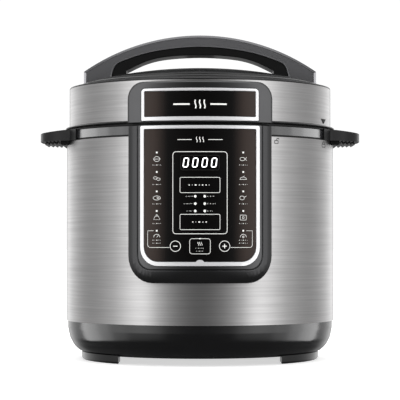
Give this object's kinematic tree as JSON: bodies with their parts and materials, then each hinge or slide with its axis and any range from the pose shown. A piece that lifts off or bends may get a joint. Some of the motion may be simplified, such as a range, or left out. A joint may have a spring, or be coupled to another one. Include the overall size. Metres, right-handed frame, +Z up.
{
  "type": "electric pressure cooker",
  "caption": "Round electric pressure cooker with brushed steel body, arched lid handle, ear handles, curved black control panel and a bayonet lid.",
  "frame": {"origin": "on the table under the middle of the round body, at the bottom of the feet", "axes": "+Z up, -Y out of the control panel at the front, +X towards the right-hand side handle seen from the front"},
  "size_m": [0.334, 0.296, 0.3385],
  "materials": {
    "brushed_steel": "stainless steel, brushed round the body",
    "polished_steel": "stainless steel, satin polished",
    "chrome_trim": "bright chrome-plated trim",
    "cast_aluminium": "cast aluminium, machined face",
    "brass": "brass contact pins",
    "gloss_black": "high-gloss black moulded plastic",
    "satin_black": "fine-textured black moulded plastic",
    "satin_grey": "satin dark grey moulded plastic",
    "black_glass": "glossy black window film with white print",
    "silicone": "translucent white silicone",
    "clear_plastic": "smoked clear polycarbonate",
    "circuit_board": "green circuit board with components"
  },
  "bodies": {
    "base": {"outer_shell": "brushed_steel", "collar_band": "brushed_steel", "bottom_screw_front": "polished_steel", "bottom_screw_right": "polished_steel", "bottom_screw_rear": "polished_steel", "bottom_screw_left": "polished_steel", "sensor_spring": "polished_steel", "outer_pot": "polished_steel", "panel_frame": "chrome_trim", "heating_plate": "cast_aluminium", "pressure_switch": "cast_aluminium", "inlet_pin_earth": "brass", "inlet_pin_left": "brass", "inlet_pin_right": "brass", "base_bowl": "gloss_black", "foot_front_right": "gloss_black", "foot_rear_right": "gloss_black", "foot_rear_left": "gloss_black", "foot_front_left": "gloss_black", "top_ring": "satin_black", "side_handle_right": "satin_black", "side_handle_left": "satin_black", "bottom_cover": "satin_black", "cup_holder": "satin_black", "power_inlet": "satin_black", "display_module": "satin_black", "switch_fine_adjust": "satin_black", "switch_function": "satin_black", "switch_warm_cancel": "satin_black", "switch_minus": "satin_black", "switch_plus": "satin_black", "panel_housing": "satin_grey", "panel_window": "black_glass", "power_board": "circuit_board", "control_board": "circuit_board"},
    "sealing_ring": {"sealing_ring": "silicone"},
    "steam_valve": {"steam_valve": "satin_black"},
    "float_pin": {"float_pin": "polished_steel"},
    "inner_pot": {"inner_pot": "polished_steel"},
    "condensate_cup": {"condensate_cup": "clear_plastic"},
    "thermal_sensor": {"thermal_sensor": "polished_steel"},
    "lid": {"lid_cover": "gloss_black", "lid_band": "brushed_steel", "lid_lip": "satin_black", "lid_handle": "satin_grey", "handle_grip": "satin_black", "handle_screw_left": "polished_steel", "handle_screw_right": "polished_steel", "lid_bezel": "satin_grey", "lid_window_frame": "chrome_trim", "lid_window": "black_glass", "inner_lid": "polished_steel", "seal_rack": "polished_steel", "steam_pipe": "polished_steel", "anti_block_shield": "polished_steel"},
    "key_fine_adjust": {"key_fine_adjust": "black_glass"},
    "key_function": {"key_function": "black_glass"},
    "key_warm_cancel": {"key_warm_cancel": "black_glass"},
    "key_minus": {"key_minus": "black_glass"},
    "key_plus": {"key_plus": "black_glass"}
  },
  "joints": [
    {"name": "lid_lift", "type": "slide", "parent": "base", "child": "sealing_ring", "axis": [0, 0, 1], "range_m": [0, 0.3]},
    {"name": "lid_turn", "type": "hinge", "parent": "sealing_ring", "child": "lid", "pos_m": [0, 0, 0.24], "axis": [0, 0, 1], "range_deg": [-30, 0]},
    {"name": "steam_valve_turn", "type": "hinge", "parent": "lid", "child": "steam_valve", "pos_m": [0, 0.07, 0.301], "axis": [0, 0, 1], "range_deg": [0, 60]},
    {"name": "float_rise", "type": "slide", "parent": "lid", "child": "float_pin", "axis": [0, 0, 1], "range_m": [0, 0.005]},
    {"name": "pot_lift", "type": "slide", "parent": "base", "child": "inner_pot", "axis": [0, 0, 1], "range_m": [0, 0.18]},
    {"name": "cup_slide", "type": "slide", "parent": "base", "child": "condensate_cup", "axis": [0, 1, 0], "range_m": [0, 0.04]},
    {"name": "sensor_press", "type": "slide", "parent": "base", "child": "thermal_sensor", "axis": [0, 0, -1], "range_m": [0, 0.003], "stiffness_N_per_m": 800, "springref_m": -0.004, "deforming": ["sensor_spring"]},
    {"name": "press_fine_adjust", "type": "slide", "parent": "base", "child": "key_fine_adjust", "axis": [0, 1, 0], "range_m": [0, 0.0005], "stiffness_N_per_m": 400, "springref_m": -0.001},
    {"name": "press_function", "type": "slide", "parent": "base", "child": "key_function", "axis": [0, 1, 0], "range_m": [0, 0.0005], "stiffness_N_per_m": 400, "springref_m": -0.001},
    {"name": "press_warm_cancel", "type": "slide", "parent": "base", "child": "key_warm_cancel", "axis": [0, 1, 0], "range_m": [0, 0.0005], "stiffness_N_per_m": 400, "springref_m": -0.001},
    {"name": "press_minus", "type": "slide", "parent": "base", "child": "key_minus", "axis": [0, 1, 0], "range_m": [0, 0.0005], "stiffness_N_per_m": 400, "springref_m": -0.001},
    {"name": "press_plus", "type": "slide", "parent": "base", "child": "key_plus", "axis": [0, 1, 0], "range_m": [0, 0.0005], "stiffness_N_per_m": 400, "springref_m": -0.001}
  ],
  "couplings": [
    {"joint": "pot_lift", "follows": "lid_lift", "ratio": 0.6}
  ]
}
